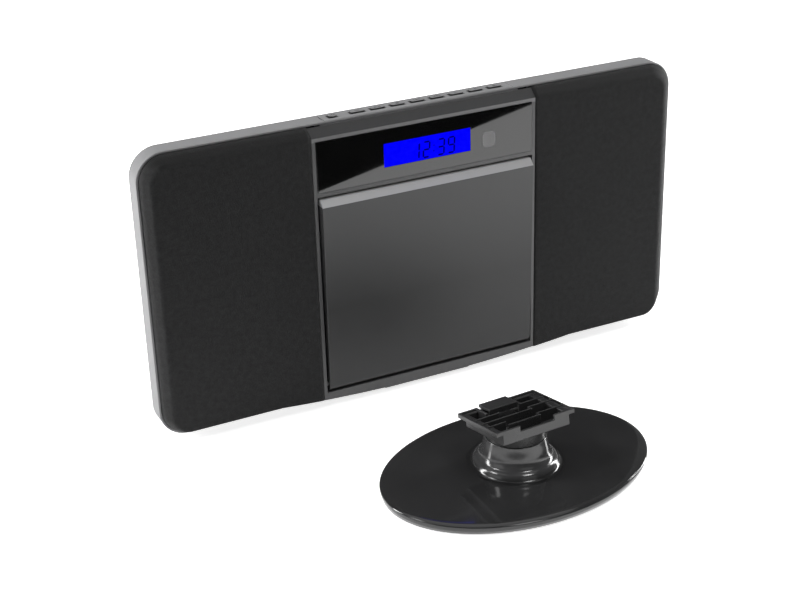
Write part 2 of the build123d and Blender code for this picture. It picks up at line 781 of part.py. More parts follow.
rack_teeth = 16
rack_bar = 8.0
with BuildPart() as sled_rack:
    bar_low = rack_line + dedendum
    rack_start = gear_x - (rack_teeth - 1) * rack_pitch
    block((rack_start, gear_x + rack_pitch), (gear_front, gear_back), (bar_low, bar_low + rack_bar))
    with BuildSketch(back_plane(gear_back)):
        for i in range(rack_teeth):
            middle = gear_x + rack_pitch / 2 - i * rack_pitch
            root_half = rack_pitch / 4 + dedendum * tan(pressure_angle)
            tip_half = rack_pitch / 4 - addendum * tan(pressure_angle) - backlash
            with BuildLine():
                Polyline(
                    (middle - root_half, bar_low + 0.2),
                    (middle - root_half, bar_low),
                    (middle - tip_half, rack_line - addendum),
                    (middle + tip_half, rack_line - addendum),
                    (middle + root_half, bar_low),
                    (middle + root_half, bar_low + 0.2),
                    close=True,
                )
            make_face()
    extrude(amount=gear_width)
sled_rack.part.label = "sled_rack"
export_step(sled_rack.part, "parts/sled_rack.step")

with BuildPart() as sled_motor:
    rod_y(gear_x, gear_z, drive_motor_radius, deck_back, drive_motor_back)
    rod_y(gear_x, gear_z, shaft_radius + running_fit, deck_back + 1, drive_motor_back + 1, Mode.SUBTRACT)
sled_motor.part.label = "sled_motor"
export_step(sled_motor.part, "parts/sled_motor.step")

base_circle = pitch_radius * cos(pressure_angle)
root_circle = pitch_radius - dedendum
tip_circle = pitch_radius + addendum
flank_steps = 5


def tooth_half_angle(radius):
    """Half the angle that an involute tooth spans at a radius, less the backlash."""
    at_pitch = tan(pressure_angle) - pressure_angle
    here = acos(min(1.0, base_circle / radius))
    return pi / (2 * gear_teeth) + at_pitch - (tan(here) - here) - backlash / pitch_radius


with BuildPart() as drive_pinion:
    rod_y(gear_x, gear_z, root_circle, gear_front, gear_back)
    with BuildSketch(back_plane(gear_back)):
        flank_step = (tip_circle - base_circle) / flank_steps
        flank_radii = [base_circle + flank_step * i for i in range(flank_steps + 1)]
        right = [(r * sin(tooth_half_angle(r)), r * cos(tooth_half_angle(r))) for r in flank_radii]
        left = [(-x, y) for x, y in reversed(right)]
        foot = tooth_half_angle(base_circle)
        foot_x = (root_circle - 0.3) * sin(foot)
        foot_y = (root_circle - 0.3) * cos(foot)
        with Locations((gear_x, gear_z)):
            with PolarLocations(0, gear_teeth):
                Polygon((foot_x, foot_y), *right, *left, (-foot_x, foot_y), align=None)
    extrude(amount=gear_width)
    rod_y(gear_x, gear_z, shaft_radius, gear_front - 1, gear_back + 1, Mode.SUBTRACT)
drive_pinion.part.label = "drive_pinion"
export_step(drive_pinion.part, "parts/drive_pinion.step")

with BuildPart() as pinion_shaft:
    rod_y(gear_x, gear_z, shaft_radius, deck_back + 2, gear_back + 1)
pinion_shaft.part.label = "pinion_shaft"
export_step(pinion_shaft.part, "parts/pinion_shaft.step")

# ======== electronics ========

board_back = board_y + board_thickness
with BuildPart() as main_board:
    block((-board_half, board_half), (board_y, board_back), (board_low, board_high))
main_board.part.label = "main_board"
export_step(main_board.part, "parts/main_board.step")

capacitor_radius = 6.0
capacitor_height = 20.0
with BuildPart() as board_components:
    with BuildSketch(back_plane(board_back + capacitor_height)):
        with Locations((-54, board_low + 34)):
            with GridLocations(16, 16, 2, 2):
                Circle(capacitor_radius)
    extrude(amount=capacitor_height)
    block((-30, -6), (board_back, board_back + 2.4), (board_low + 42, board_low + 66))
    block((-46, -16), (board_back, board_back + 6), (board_low + 84, board_low + 106))
    block((12, 34), (board_back, board_back + 2), (board_low + 84, board_low + 100))
board_components.part.label = "board_components"
export_step(board_components.part, "parts/board_components.step")

fin_pitch = 5.0
fin_count = 8
heatsink_left = 20.0
heatsink_low = board_low + 36
heatsink_depth = 16.0
with BuildPart() as amplifier_heatsink:
    heatsink_right = heatsink_left + (fin_count - 1) * fin_pitch + 1.6
    block((heatsink_left, heatsink_right), (board_back, board_back + 3), (heatsink_low, heatsink_low + 32))
    for i in range(fin_count):
        x = heatsink_left + i * fin_pitch
        block((x, x + 1.6), (board_back + 3, board_back + heatsink_depth), (heatsink_low, heatsink_low + 32))
amplifier_heatsink.part.label = "amplifier_heatsink"
export_step(amplifier_heatsink.part, "parts/amplifier_heatsink.step")

plug_radius = 1.8  # hole for a 3.5 mm plug
barrel_radius = 2.9  # hole for a 5.5 mm barrel plug
socket_length = 14.0

with BuildPart() as aux_jack:
    block((jack_x - 5.5, jack_x + 5.5), (hump_inside - socket_length, hump_inside),
          (socket_z - 5.5, socket_z + 5.5))
    rod_y(jack_x, socket_z, socket_bushing, hump_inside, hump_depth)
    rod_y(jack_x, socket_z, plug_radius, hump_inside - socket_length + 1, hump_depth + 1, Mode.SUBTRACT)
aux_jack.part.label = "aux_jack"
export_step(aux_jack.part, "parts/aux_jack.step")

with BuildPart() as dc_inlet:
    block((inlet_x - 5.5, inlet_x + 5.5), (hump_inside - socket_length, hump_inside),
          (socket_z - 5.5, socket_z + 5.5))
    rod_y(inlet_x, socket_z, socket_bushing, hump_inside, hump_depth)
    rod_y(inlet_x, socket_z, barrel_radius, hump_depth - 10, hump_depth + 1, Mode.SUBTRACT)
    rod_y(inlet_x, socket_z, 1.0, hump_depth - 11, hump_depth - 1)
dc_inlet.part.label = "dc_inlet"
export_step(dc_inlet.part, "parts/dc_inlet.step")

# ======== table stand ========

turn = radians(stand_turn)
stand = Plane(origin=(stand_x, stand_y, 0), x_dir=(cos(turn), sin(turn), 0), z_dir=(0, 0, 1))
upright = Plane(origin=(stand_x, stand_y, 0), x_dir=(cos(turn), sin(turn), 0),
                z_dir=(sin(turn), -cos(turn), 0))
stand_axis = Axis((stand_x, stand_y, 0), (0, 0, 1))
clip_lean = Location((0, 0, 0), (-clip_tilt - 90, 0, 0))
deck_plane = Plane(upright.location * Location((0, clip_top, 0)) * clip_lean)


def oval_body(shrink, low):
    """The crowned oval of the base, made smaller all over by shrink."""
    long_half = base_half_length - shrink
    short_half = base_half_width - shrink
    with BuildSketch(stand.offset(low)) as bottom:
        Ellipse(long_half - 0.8, short_half - 1.2)
    with BuildSketch(stand.offset(base_rim - shrink / 2)) as rim:
        Ellipse(long_half, short_half)
    with BuildSketch(stand.offset(base_rim + 1.6 - shrink)) as shoulder:
        Ellipse(long_half - 2.2, short_half - 2.2)
    with BuildSketch(stand.offset(base_crown - shrink)) as crown:
        Ellipse(neck_foot + 3.4, neck_foot + 3.3)
    loft([bottom.sketch, rim.sketch, shoulder.sketch, crown.sketch], ruled=True)


with BuildPart() as base_inside:
    oval_body(base_wall, base_lift)

with BuildPart() as stand_base:
    oval_body(0, base_lift)
    add(base_inside.part, mode=Mode.SUBTRACT)
    with BuildSketch(stand.offset(base_crown + 1)):
        Circle(bolt_radius + fit_gap)
    extrude(amount=-(base_wall + 2), mode=Mode.SUBTRACT)
stand_base.part.label = "stand_base"
export_step(stand_base.part, "parts/stand_base.step")

plate_thickness = 1.2
with BuildPart() as stand_base_plate:
    with BuildSketch(stand.offset(base_lift)):
        Ellipse(base_half_length - base_wall - 1.2, base_half_width - base_wall - 1.6)
    extrude(amount=plate_thickness)
stand_base_plate.part.label = "stand_base_plate"
export_step(stand_base_plate.part, "parts/stand_base_plate.step")

weight_thickness = 2.2
bolt_head = 5.0
with BuildPart() as stand_weight:
    with BuildSketch(stand.offset(base_lift + plate_thickness)):
        Ellipse(base_half_length - 22, base_half_width - 20)
        Circle(bolt_head + 3, mode=Mode.SUBTRACT)
    extrude(amount=weight_thickness)
stand_weight.part.label = "stand_weight"
export_step(stand_weight.part, "parts/stand_weight.step")

with BuildPart() as stand_feet:
    with BuildSketch(stand):
        with GridLocations(1.2 * base_half_length, 1.1 * base_half_width, 2, 2):
            Circle(foot_radius)
    extrude(amount=base_lift)
stand_feet.part.label = "stand_feet"
export_step(stand_feet.part, "parts/stand_feet.step")

flare_top = base_crown + neck_flare
with BuildPart() as stand_neck:
    with BuildSketch(upright):
        with BuildLine():
            CenterArc((neck_foot, flare_top), neck_flare, 180, 90)
            Line((neck_foot - neck_flare, flare_top), (neck_top_radius, neck_top))
            Line((neck_top_radius, neck_top), (neck_bore, neck_top))
            Line((neck_bore, neck_top), (neck_bore, base_crown))
            Line((neck_bore, base_crown), (neck_foot, base_crown))
        make_face()
    revolve(axis=stand_axis)
stand_neck.part.label = "stand_neck"
export_step(stand_neck.part, "parts/stand_neck.step")

clip_under = deck_plane.offset(-clip_height)
collar_plug = 10.0
with BuildPart() as stand_collar:
    with BuildSketch(stand.offset(neck_top)):
        Circle(collar_radius)
    extrude(amount=clip_top - neck_top)
    with BuildSketch(clip_under):
        Rectangle(3 * collar_radius, 3 * collar_radius)
    extrude(amount=clip_top, mode=Mode.SUBTRACT)
    with BuildSketch(stand.offset(base_crown)):
        Circle(collar_plug)
    extrude(amount=neck_top - base_crown)
    with BuildSketch(stand.offset(base_crown)):
        Circle(bolt_radius)
    extrude(amount=neck_top - base_crown - 4, mode=Mode.SUBTRACT)
stand_collar.part.label = "stand_collar"
export_step(stand_collar.part, "parts/stand_collar.step")

bolt_seat = base_crown - base_wall
with BuildPart() as stand_bolt:
    with BuildSketch(stand.offset(bolt_seat - 1.6)):
        Circle(bolt_head)
    extrude(amount=1.6)
    with BuildSketch(stand.offset(bolt_seat)):
        Circle(bolt_radius)
    extrude(amount=14)
stand_bolt.part.label = "stand_bolt"
export_step(stand_bolt.part, "parts/stand_bolt.step")

# ---- clip plate, drawn on its own tilted top plane ----
clip_floor = 2.0
clip_back = clip_length / 2
clip_front = -clip_length / 2
notch_left = -12.0
notch_right = 14.0
notch_depth = 3.6
tab_left = -14.0
tab_right = 7.5
tab_front = 9.0
tab_rise = 2.0
tab_thickness = 2.2
tab_gap = 1.2
pivot_y = clip_back - 4.0
pivot_z = -3.4
trunnion = 1.1
ear_width = 1.8
rib_thickness = 1.0
rib_shift = 4.5
rim_recess = 1.6
rib_drop = 0.3  # the ribs end this far below the top plane


def clip_block(x, y, z, mode=Mode.ADD):
    """A box in the clip plate's own axes, from z[0] to z[1] above its top plane."""
    with BuildSketch(deck_plane.offset(z[0])) as base:
        with Locations(((x[0] + x[1]) / 2, (y[0] + y[1]) / 2)):
            Rectangle(x[1] - x[0], y[1] - y[0])
    extrude(base.sketch, amount=z[1] - z[0], mode=mode)


pivot_plane = Plane(deck_plane.location * Location((0, pivot_y, pivot_z)) * Location((0, 0, 0), (0, 90, 0)))


def trunnion_bar(radius, x0, x1, mode=Mode.ADD):
    """A round bar along the latch's pivot line."""
    with BuildSketch(pivot_plane.offset(x0)) as end:
        Circle(radius)
    extrude(end.sketch, amount=x1 - x0, mode=mode)


inner_half = clip_body_width / 2 - clip_wall
rim_half = clip_width / 2 - clip_wall


def rib(x, y):
    """A rib on the plate's floor, with a top that runs on into the shallow recess inside the rim."""
    clip_block((max(x[0], -inner_half), min(x[1], inner_half)), y, (clip_floor - clip_height, -rib_drop))
    clip_block(x, y, (-clip_flange, -rib_drop))


with BuildPart() as clip_plate:
    clip_block((-clip_width / 2, clip_width / 2), (clip_front, clip_back), (-clip_flange, 0))
    clip_block((-clip_body_width / 2, clip_body_width / 2), (clip_front, clip_back - 2), (-clip_height, 0))
    clip_block((-inner_half, inner_half), (clip_front + clip_wall, clip_back - 2 - clip_wall),
               (clip_floor - clip_height, 1), Mode.SUBTRACT)
    clip_block((-rim_half, rim_half), (clip_front + clip_wall, clip_back - clip_wall), (-rim_recess, 1),
               Mode.SUBTRACT)
    for start, end, row in ((-rim_half, -9, 5.5), (-rim_half, -14, -10),
                            (tab_right + tab_gap + ear_width, rim_half, 9)):
        rib((start, end), (row, row + rib_thickness))
    for start, kink, row in ((-rim_half, 11, -3), (-16, 9, -15.5)):
        rib((start, kink), (row, row + rib_thickness))
        rib((kink - rib_thickness, kink), (row, row + rib_shift))
        rib((kink - rib_thickness, rim_half), (row + rib_shift - rib_thickness, row + rib_shift))
    clip_block((notch_left, notch_right), (clip_front - 1, clip_front + clip_wall + 0.2), (-notch_depth, 1),
               Mode.SUBTRACT)
    for x in (tab_left - tab_gap - ear_width, tab_right + tab_gap):
        clip_block((x, x + ear_width), (tab_front, clip_back), (clip_floor - clip_height, 0))
    clip_block((tab_left - tab_gap, tab_right + tab_gap), (tab_front - tab_gap, clip_back + 1),
               (clip_floor - clip_height, 1), Mode.SUBTRACT)
    trunnion_bar(trunnion + running_fit, tab_left - tab_gap - ear_width, tab_right + tab_gap + ear_width,
                 Mode.SUBTRACT)
clip_plate.part.label = "clip_plate"
export_step(clip_plate.part, "parts/clip_plate.step")

with BuildPart() as latch_tongue:
    clip_block((tab_left, tab_right), (tab_front, clip_back - 0.5), (tab_rise - tab_thickness, tab_rise))
    fillet(latch_tongue.faces().sort_by(Axis.Z)[-1].edges(), 0.6)
    clip_block((tab_left, tab_right), (pivot_y - 1.6, pivot_y + 1.6), (pivot_z, tab_rise - tab_thickness))
    clip_block((tab_left, tab_right), (tab_front, tab_front + 1.4),
               (tab_rise - tab_thickness - 2, tab_rise - tab_thickness))
    trunnion_bar(1.6, tab_left, tab_right)
    trunnion_bar(trunnion, tab_left - tab_gap - ear_width + 0.3, tab_right + tab_gap + ear_width - 0.3)
latch_tongue.part.label = "latch_tongue"
export_step(latch_tongue.part, "parts/latch_tongue.step")
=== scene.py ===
"""Mini hifi system with its table stand: finishes, cloth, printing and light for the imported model.

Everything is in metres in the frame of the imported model: X along the front, +Y to the back, Z up.
"""

import json
import math

import bpy
import numpy as np
from mathutils import Matrix, Vector


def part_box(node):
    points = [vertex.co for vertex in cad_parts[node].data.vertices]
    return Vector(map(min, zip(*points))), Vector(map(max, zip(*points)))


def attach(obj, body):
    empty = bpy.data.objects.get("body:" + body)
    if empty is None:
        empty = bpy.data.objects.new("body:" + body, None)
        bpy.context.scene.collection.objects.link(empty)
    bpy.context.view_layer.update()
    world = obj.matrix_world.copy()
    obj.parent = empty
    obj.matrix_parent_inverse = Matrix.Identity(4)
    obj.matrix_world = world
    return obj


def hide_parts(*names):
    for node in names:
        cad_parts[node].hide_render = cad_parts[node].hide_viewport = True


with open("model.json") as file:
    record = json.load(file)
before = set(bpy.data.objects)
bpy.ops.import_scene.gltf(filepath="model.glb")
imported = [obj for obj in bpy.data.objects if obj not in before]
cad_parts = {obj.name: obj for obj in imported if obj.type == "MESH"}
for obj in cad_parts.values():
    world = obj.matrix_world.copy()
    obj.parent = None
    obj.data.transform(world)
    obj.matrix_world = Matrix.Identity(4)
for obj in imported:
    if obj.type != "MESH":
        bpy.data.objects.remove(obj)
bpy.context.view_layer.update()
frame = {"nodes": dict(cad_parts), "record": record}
nodes_by_slot = {}
for part in frame["record"]["subparts"]:
    nodes_by_slot.setdefault(part["material_slot"], []).append(part["node"])

MM = 0.001
PITCH_CLOTH = 0.9 * MM  # thread spacing of the speaker cloth


# ---------------------------------------------------------------- materials


class Finish:
    """A material under construction: a Principled shader and short ways to add nodes to it."""

    def __init__(self, name):
        self.material = bpy.data.materials.new(name)
        self.material.use_nodes = True
        self.nodes = self.material.node_tree.nodes
        self.links = self.material.node_tree.links
        self.shader = self.nodes["Principled BSDF"]
        self.place = self.nodes.new("ShaderNodeTexCoord").outputs["Object"]

    def join(self, source, target):
        """Feeds target from a socket, or sets it to a number."""
        if isinstance(source, bpy.types.NodeSocket):
            self.links.new(source, target)
        else:
            target.default_value = source

    def math(self, operation, a, b=0.0, c=0.0):
        """The result of one sum on sockets or numbers."""
        made = self.nodes.new("ShaderNodeMath")
        made.operation = operation
        for socket, value in zip(made.inputs, (a, b, c)):
            self.join(value, socket)
        return made.outputs[0]

    def noise(self, scale, detail=2.0, stretch=(1, 1, 1)):
        """Noise with scale bumps per metre, from 0 to 1."""
        spread = self.nodes.new("ShaderNodeMapping")
        spread.inputs["Scale"].default_value = stretch
        self.join(self.place, spread.inputs["Vector"])
        made = self.nodes.new("ShaderNodeTexNoise")
        self.join(spread.outputs[0], made.inputs["Vector"])
        made.inputs["Scale"].default_value = scale
        made.inputs["Detail"].default_value = detail
        return made.outputs[0]

    def span(self, value, low, high, start=0.0, end=1.0):
        """Value mapped from low..high to start..end."""
        made = self.nodes.new("ShaderNodeMapRange")
        for socket, number in zip(made.inputs, (value, low, high, start, end)):
            self.join(number, socket)
        return made.outputs[0]

    def blend(self, share, a, b):
        """Colour between a and b."""
        made = self.nodes.new("ShaderNodeMix")
        made.data_type = "RGBA"
        self.join(share, made.inputs["Factor"])
        for socket, colour in zip(made.inputs[6:8], (a, b)):
            self.join(colour if isinstance(colour, bpy.types.NodeSocket) else (*colour, 1.0), socket)
        return made.outputs[2]

    def relief(self, height, depth):
        """Fine relief of that depth in metres."""
        made = self.nodes.new("ShaderNodeBump")
        made.inputs["Distance"].default_value = depth
        self.join(height, made.inputs["Height"])
        self.join(made.outputs[0], self.shader.inputs["Normal"])

    def axes(self):
        """X, Y and Z of the point on the object."""
        made = self.nodes.new("ShaderNodeSeparateXYZ")
        self.join(self.place, made.inputs[0])
        return made.outputs

    def set(self, **values):
        """Feeds the shader's sockets, named with _ for each space."""
        for name, value in values.items():
            self.join(value, self.shader.inputs[name.replace("_", " ")])
        return self


def moulded(name, dark, light, rough, patch=35.0, grain=2600.0, depth=0.00002, stretch=(1, 1, 1), **more):
    """Plastic, metal or rubber: colour drifts in patches, with a fine grain in the relief and the gloss."""
    made = Finish(name)
    broad = made.noise(patch, 3.0, stretch)
    fine = made.noise(grain, 2.0, stretch)
    share = made.math("MULTIPLY_ADD", fine, 0.45, made.math("MULTIPLY", broad, 0.55))
    made.set(Base_Color=made.blend(made.span(share, 0.38, 0.62), dark, light))
    made.set(Roughness=made.span(share, 0.35, 0.65, *rough))
    made.relief(fine, depth)
    return made.set(**more)


def grey(value, warm=0.0):
    """A nearly neutral colour, slightly blue, or warmer where warm is above 0."""
    return (value * (1 + warm), value, value * (1.02 - warm))


def painted_light_above(made, height, colour, run=0.0002, rough=None):
    """Another colour above that height, reached over that run, and a duller gloss if rough is given; used
    to paint light and shade by height.
    """
    plain = made.shader.inputs["Base Color"].links[0].from_socket
    share = made.span(made.axes()[2], height - run, height)
    made.set(Base_Color=made.blend(share, plain, colour))
    if rough:
        smooth = made.shader.inputs["Roughness"].links[0].from_socket
        made.set(Roughness=made.math("MULTIPLY_ADD", share, rough, smooth))
        made.set(Specular_IOR_Level=made.span(share, 0, 1, 0.7, 0.15))
    return made


def cloth_finish():
    """Plain weave: height sin(2 pi x / p) sin(2 pi z / p), with uneven threads that mottle the black."""
    made = Finish("speaker_cloth")
    x, _, z = made.axes()
    turn = 2 * math.pi / PITCH_CLOTH
    across = made.math("SINE", made.math("MULTIPLY", x, turn))
    along = made.math("SINE", made.math("MULTIPLY", z, turn))
    weave = made.math("MULTIPLY", across, along)
    knots = made.noise(900.0, 3.0)
    patches = made.noise(260.0, 2.0)
    drift = made.math("MULTIPLY_ADD", patches, 0.5, made.math("MULTIPLY", weave, 0.1))
    tone = made.math("MULTIPLY_ADD", knots, 0.5, drift)
    made.set(Base_Color=made.blend(made.span(tone, 0.25, 0.75), grey(0.015), grey(0.036)))
    # Painted shade: the cloth turns darker towards its top bevel and is darkest in its top 3.5 mm.
    painted_light_above(made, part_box("left_grille_cloth")[1].z - 3.5 * MM, grey(0.010), 4.0 * MM)
    made.set(Roughness=0.92, Specular_IOR_Level=0.25, Sheen_Weight=0.12, Sheen_Roughness=0.5)
    made.relief(made.math("ADD", weave, made.math("MULTIPLY", knots, 1.2)), 0.00012)
    return made


def lcd_finish():
    """Backlit blue display with the faint mottling of its cells."""
    made = Finish("lcd_glass")
    cells = made.noise(350.0, 2.0)
    glow = made.blend(made.span(cells, 0.3, 0.7), (0.0, 0.0, 0.96), (0.002, 0.002, 1.0))
    made.set(Base_Color=(0.0, 0.0, 0.02, 1.0), Roughness=made.span(cells, 0, 1, 0.25, 0.4))
    return made.set(Emission_Color=glow, Emission_Strength=1.0, Specular_IOR_Level=0.0)


def board_finish():
    """Printed circuit: copper tracks under green lacquer, laid out like the joints of a brick wall."""
    made = Finish("circuit_board")
    bricks = made.nodes.new("ShaderNodeTexBrick")
    bricks.inputs["Scale"].default_value = 160.0
    bricks.inputs["Mortar Size"].default_value = 0.06
    made.join(made.place, bricks.inputs["Vector"])
    lacquer = made.noise(60.0, 4.0)
    green = made.blend(lacquer, (0.008, 0.075, 0.022), (0.02, 0.14, 0.05))
    tracks = made.math("MULTIPLY", bricks.outputs["Fac"], 0.6)
    made.set(Base_Color=made.blend(tracks, green, (0.10, 0.22, 0.06)))
    made.set(Roughness=made.span(lacquer, 0.3, 0.7, 0.25, 0.45))
    made.relief(bricks.outputs["Fac"], 0.00004)
    return made


def print_and_painted_shade(made, centre, shapes, ink_and_shade):
    """Lays convex shapes of one colour on a finish, seen from above, for print and for painted shade. Each
    shape is its corners in mm, anticlockwise.
    """
    x, y, _ = made.axes()
    x = made.math("MULTIPLY", made.math("SUBTRACT", x, centre[0]), 1000.0)
    y = made.math("MULTIPLY", made.math("SUBTRACT", y, centre[1]), 1000.0)
    whole = None
    for corners in shapes:
        inside = None
        for (x0, y0), (x1, y1) in zip(corners, corners[1:] + corners[:1]):
            length = math.hypot(x1 - x0, y1 - y0)
            nx, ny = -(y1 - y0) / length, (x1 - x0) / length
            side = made.math("MULTIPLY_ADD", x, nx, made.math("MULTIPLY_ADD", y, ny, -nx * x0 - ny * y0))
            inside = side if inside is None else made.math("MINIMUM", inside, side)
        whole = inside if whole is None else made.math("MAXIMUM", whole, inside)
    share = made.span(whole, -0.03, 0.03)
    plain = made.shader.inputs["Base Color"].links[0].from_socket
    made.set(Base_Color=made.blend(share, plain, ink_and_shade))
    return made


bevel_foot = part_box("centre_frame")[1].z - 5.5 * MM
door_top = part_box("disc_door")[1].z
finishes = {
    "cabinet": moulded("cabinet", grey(0.212), grey(0.236), (0.42, 0.50), depth=0.000012),
    "rear_plastic": moulded("rear_plastic", grey(0.020), grey(0.028), (0.55, 0.7),
                            grain=1500.0, depth=0.00006),
    "black_plastic": moulded("black_plastic", grey(0.018), grey(0.026), (0.45, 0.6)),
    "grille_cloth": cloth_finish(),
    # Centre frame: a painted highlight band 2.8 mm tall just below its top bevel, and painted shade on the
    # bevel, which also has a duller gloss.
    "frame_plastic": painted_light_above(painted_light_above(moulded("frame_plastic", grey(0.080), grey(0.090), (0.34, 0.40),
                                         depth=0.000004),
                                 bevel_foot - 2.8 * MM, grey(0.20)),
                           bevel_foot, grey(0.050), rough=0.35),
    "window_gloss": moulded("window_gloss", grey(0.0045), grey(0.0060), (0.015, 0.03), depth=0.0000002,
                            Specular_IOR_Level=0.55),
    "lcd_glass": lcd_finish(),
    "white_plastic": moulded("white_plastic", grey(0.62, 0.01), grey(0.72, 0.01), (0.4, 0.55)),
    "circuit_board": board_finish(),
    "strip_plastic": moulded("strip_plastic", grey(0.225), grey(0.248), (0.40, 0.48), depth=0.000012),
    "key_plastic": moulded("key_plastic", grey(0.160), grey(0.185), (0.36, 0.46), depth=0.000012),
    # Painted reflection on the disc door: lighter over 75 mm up to 6 mm below its top, and a painted
    # highlight on the top bevel above 4.4 mm below its top.
    "door_gloss": painted_light_above(painted_light_above(moulded("door_gloss", grey(0.031), grey(0.035), (0.44, 0.48), depth=0.000003,
                                      Specular_IOR_Level=0.5), door_top - 6 * MM, grey(0.092), 75 * MM),
                        door_top - 4.4 * MM, grey(0.46)),
    "deck_steel": moulded("deck_steel", grey(0.42), grey(0.55), (0.28, 0.42),
                          stretch=(0.2, 1, 4), Metallic=1.0),
    "steel": moulded("steel", grey(0.45), grey(0.60), (0.22, 0.35), Metallic=1.0),
    "basket_steel": moulded("basket_steel", grey(0.025), grey(0.04), (0.4, 0.55)),
    "motor_steel": moulded("motor_steel", grey(0.40), grey(0.52), (0.25, 0.4), Metallic=1.0),
    "sled_metal": moulded("sled_metal", grey(0.16), grey(0.24), (0.35, 0.5), Metallic=0.8),
    "cone_paper": moulded("cone_paper", grey(0.022), grey(0.034), (0.7, 0.85), grain=700.0, depth=0.00008),
    "magnet_ferrite": moulded("magnet_ferrite", grey(0.04), grey(0.06), (0.55, 0.7), grain=1200.0),
    "lens_glass": moulded("lens_glass", (0.05, 0.06, 0.16), (0.09, 0.07, 0.22), (0.02, 0.05),
                          depth=0.000001, Coat_Weight=1.0, Coat_Roughness=0.02),
    "component_black": moulded("component_black", grey(0.025), grey(0.045), (0.4, 0.6)),
    "heatsink_aluminium": moulded("heatsink_aluminium", grey(0.55), grey(0.68), (0.3, 0.45), Metallic=1.0),
    "foot_rubber": moulded("foot_rubber", grey(0.016), grey(0.026), (0.75, 0.9),
                           grain=900.0, depth=0.00008),
    "stand_gloss": moulded("stand_gloss", grey(0.019), grey(0.024), (0.06, 0.09), depth=0.0000006),
    "stand_matte": moulded("stand_matte", grey(0.018), grey(0.026), (0.26, 0.36),
                           grain=2000.0, depth=0.00002, Specular_IOR_Level=0.6),
}


def paint(piece, finish):
    piece.data.materials.clear()
    piece.data.materials.append(finish.material)


for slot, members in nodes_by_slot.items():
    for member in members:
        paint(frame["nodes"][member], finishes[slot])


def bar(x, y, width, height):
    """Corners of an upright box shape about its middle."""
    return [(x - width / 2, y - height / 2), (x + width / 2, y - height / 2),
            (x + width / 2, y + height / 2), (x - width / 2, y + height / 2)]


def arrow(x, way, size=1.5):
    """Triangle that points along X, right where way is 1 and left where it is -1."""
    tip = (x + way * size / 2, 0.0)
    foot = [(x - way * size / 2, size / 2), (x - way * size / 2, -size / 2)]
    return [foot[0], foot[1], tip] if way > 0 else [foot[1], foot[0], tip]


# Generic signs on the keys, in mm about each cap's middle.
SIGNS = {
    "power_button": [bar(0, 0.55, 0.4, 1.5), bar(-0.95, -0.1, 0.35, 1.3), bar(0.95, -0.1, 0.35, 1.3),
                     bar(0, -0.95, 1.5, 0.35)],
    "source_button": [bar(0, 0.5, 2.4, 0.4), bar(0, -0.5, 2.4, 0.4)],
    "play_button": [arrow(-0.8, 1, 1.7), bar(0.7, 0, 0.4, 1.6), bar(1.4, 0, 0.4, 1.6)],
    "stop_button": [bar(0, 0, 1.6, 1.6)],
    "previous_button": [arrow(0.7, -1), arrow(-0.6, -1), bar(-1.6, 0, 0.35, 1.5)],
    "next_button": [arrow(-0.7, 1), arrow(0.6, 1), bar(1.6, 0, 0.35, 1.5)],
    "volume_down_button": [bar(0, 0, 1.9, 0.4)],
    "volume_up_button": [bar(0, 0, 1.9, 0.4), bar(0, 0, 0.4, 1.9)],
    "open_button": [[(-1.1, -0.2), (1.1, -0.2), (0, 1.1)], bar(0, -0.8, 2.2, 0.4)],
}
SIGN_WIDER, SIGN_DEEPER = 1.5, 1.45
# Painted shade: dark patches on the strip round each key stand in for the shaded slot gaps.
painted_key_shade = []  # the strip is dark close round each key, most on its left and front
for key, shapes in SIGNS.items():
    low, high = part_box(key)
    left, right = low.x / MM + 0.1, high.x / MM - 0.7
    near, far = low.y / MM + 0.3, high.y / MM - 0.8
    painted_key_shade.append([(left, near), (right, near), (right, far), (left, far)])
    shapes = [[(SIGN_WIDER * x, SIGN_DEEPER * y) for x, y in corners] for corners in shapes]
    # Painted shade: each cap is dark all over for its shaded sides, with its own light grey only on its top
    # 0.05 mm.
    cap = moulded(key + "_cap", grey(0.012), grey(0.018), (0.36, 0.46), depth=0.000012)
    painted_light_above(cap, high.z - 0.05 * MM, grey(0.215), 0.1 * MM)
    paint(frame["nodes"][key], print_and_painted_shade(cap, (low + high) / 2, shapes, grey(0.02)))
# Paints that shade round the keys onto the strip.
print_and_painted_shade(finishes["strip_plastic"], (0.0, 0.0), painted_key_shade, grey(0.035))


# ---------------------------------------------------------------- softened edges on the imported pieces


def soften(node, width):
    """Joins a node's loose triangles and rounds its edges by width, as moulding does."""
    piece = frame["nodes"][node]
    if "custom_normal" in piece.data.attributes:
        piece.data.attributes.remove(piece.data.attributes["custom_normal"])
    piece.data.polygons.foreach_set("use_smooth", np.ones(len(piece.data.polygons), bool))
    weld = piece.modifiers.new("join", "WELD")
    weld.merge_threshold = 0.000002
    flat = piece.modifiers.new("flatten", "DECIMATE")
    flat.decimate_type = "DISSOLVE"
    flat.angle_limit = math.radians(0.2)
    edge = piece.modifiers.new("edge", "BEVEL")
    edge.width = width
    edge.segments = 2
    edge.limit_method = "ANGLE"
    edge.angle_limit = math.radians(28)
    edge.use_clamp_overlap = False
    edge.harden_normals = True
    even = piece.modifiers.new("even", "WEIGHTED_NORMAL")
    even.weight = 80
    even.keep_sharp = True


SOFT_EDGES = {
    "front_housing": 0.5, "centre_frame": 0.3, "disc_door": 0.35, "button_strip": 0.15,
    "clip_plate": 0.38, "latch_tongue": 0.4, "display_window": 0.12, "disc_tray": 0.25, "dock_socket": 0.25,
    "deck_chassis": 0.15, "optical_sled": 0.25, "turntable_hub": 0.25, "stand_collar": 0.3, "aux_jack": 0.2,
    "dc_inlet": 0.2, "main_board": 0.1, "board_components": 0.15, "amplifier_heatsink": 0.1,
}
SOFT_EDGES.update({key: 0.45 for key in SIGNS})
for node, width in SOFT_EDGES.items():
    soften(node, width * MM)


# ---------------------------------------------------------------- new surfaces


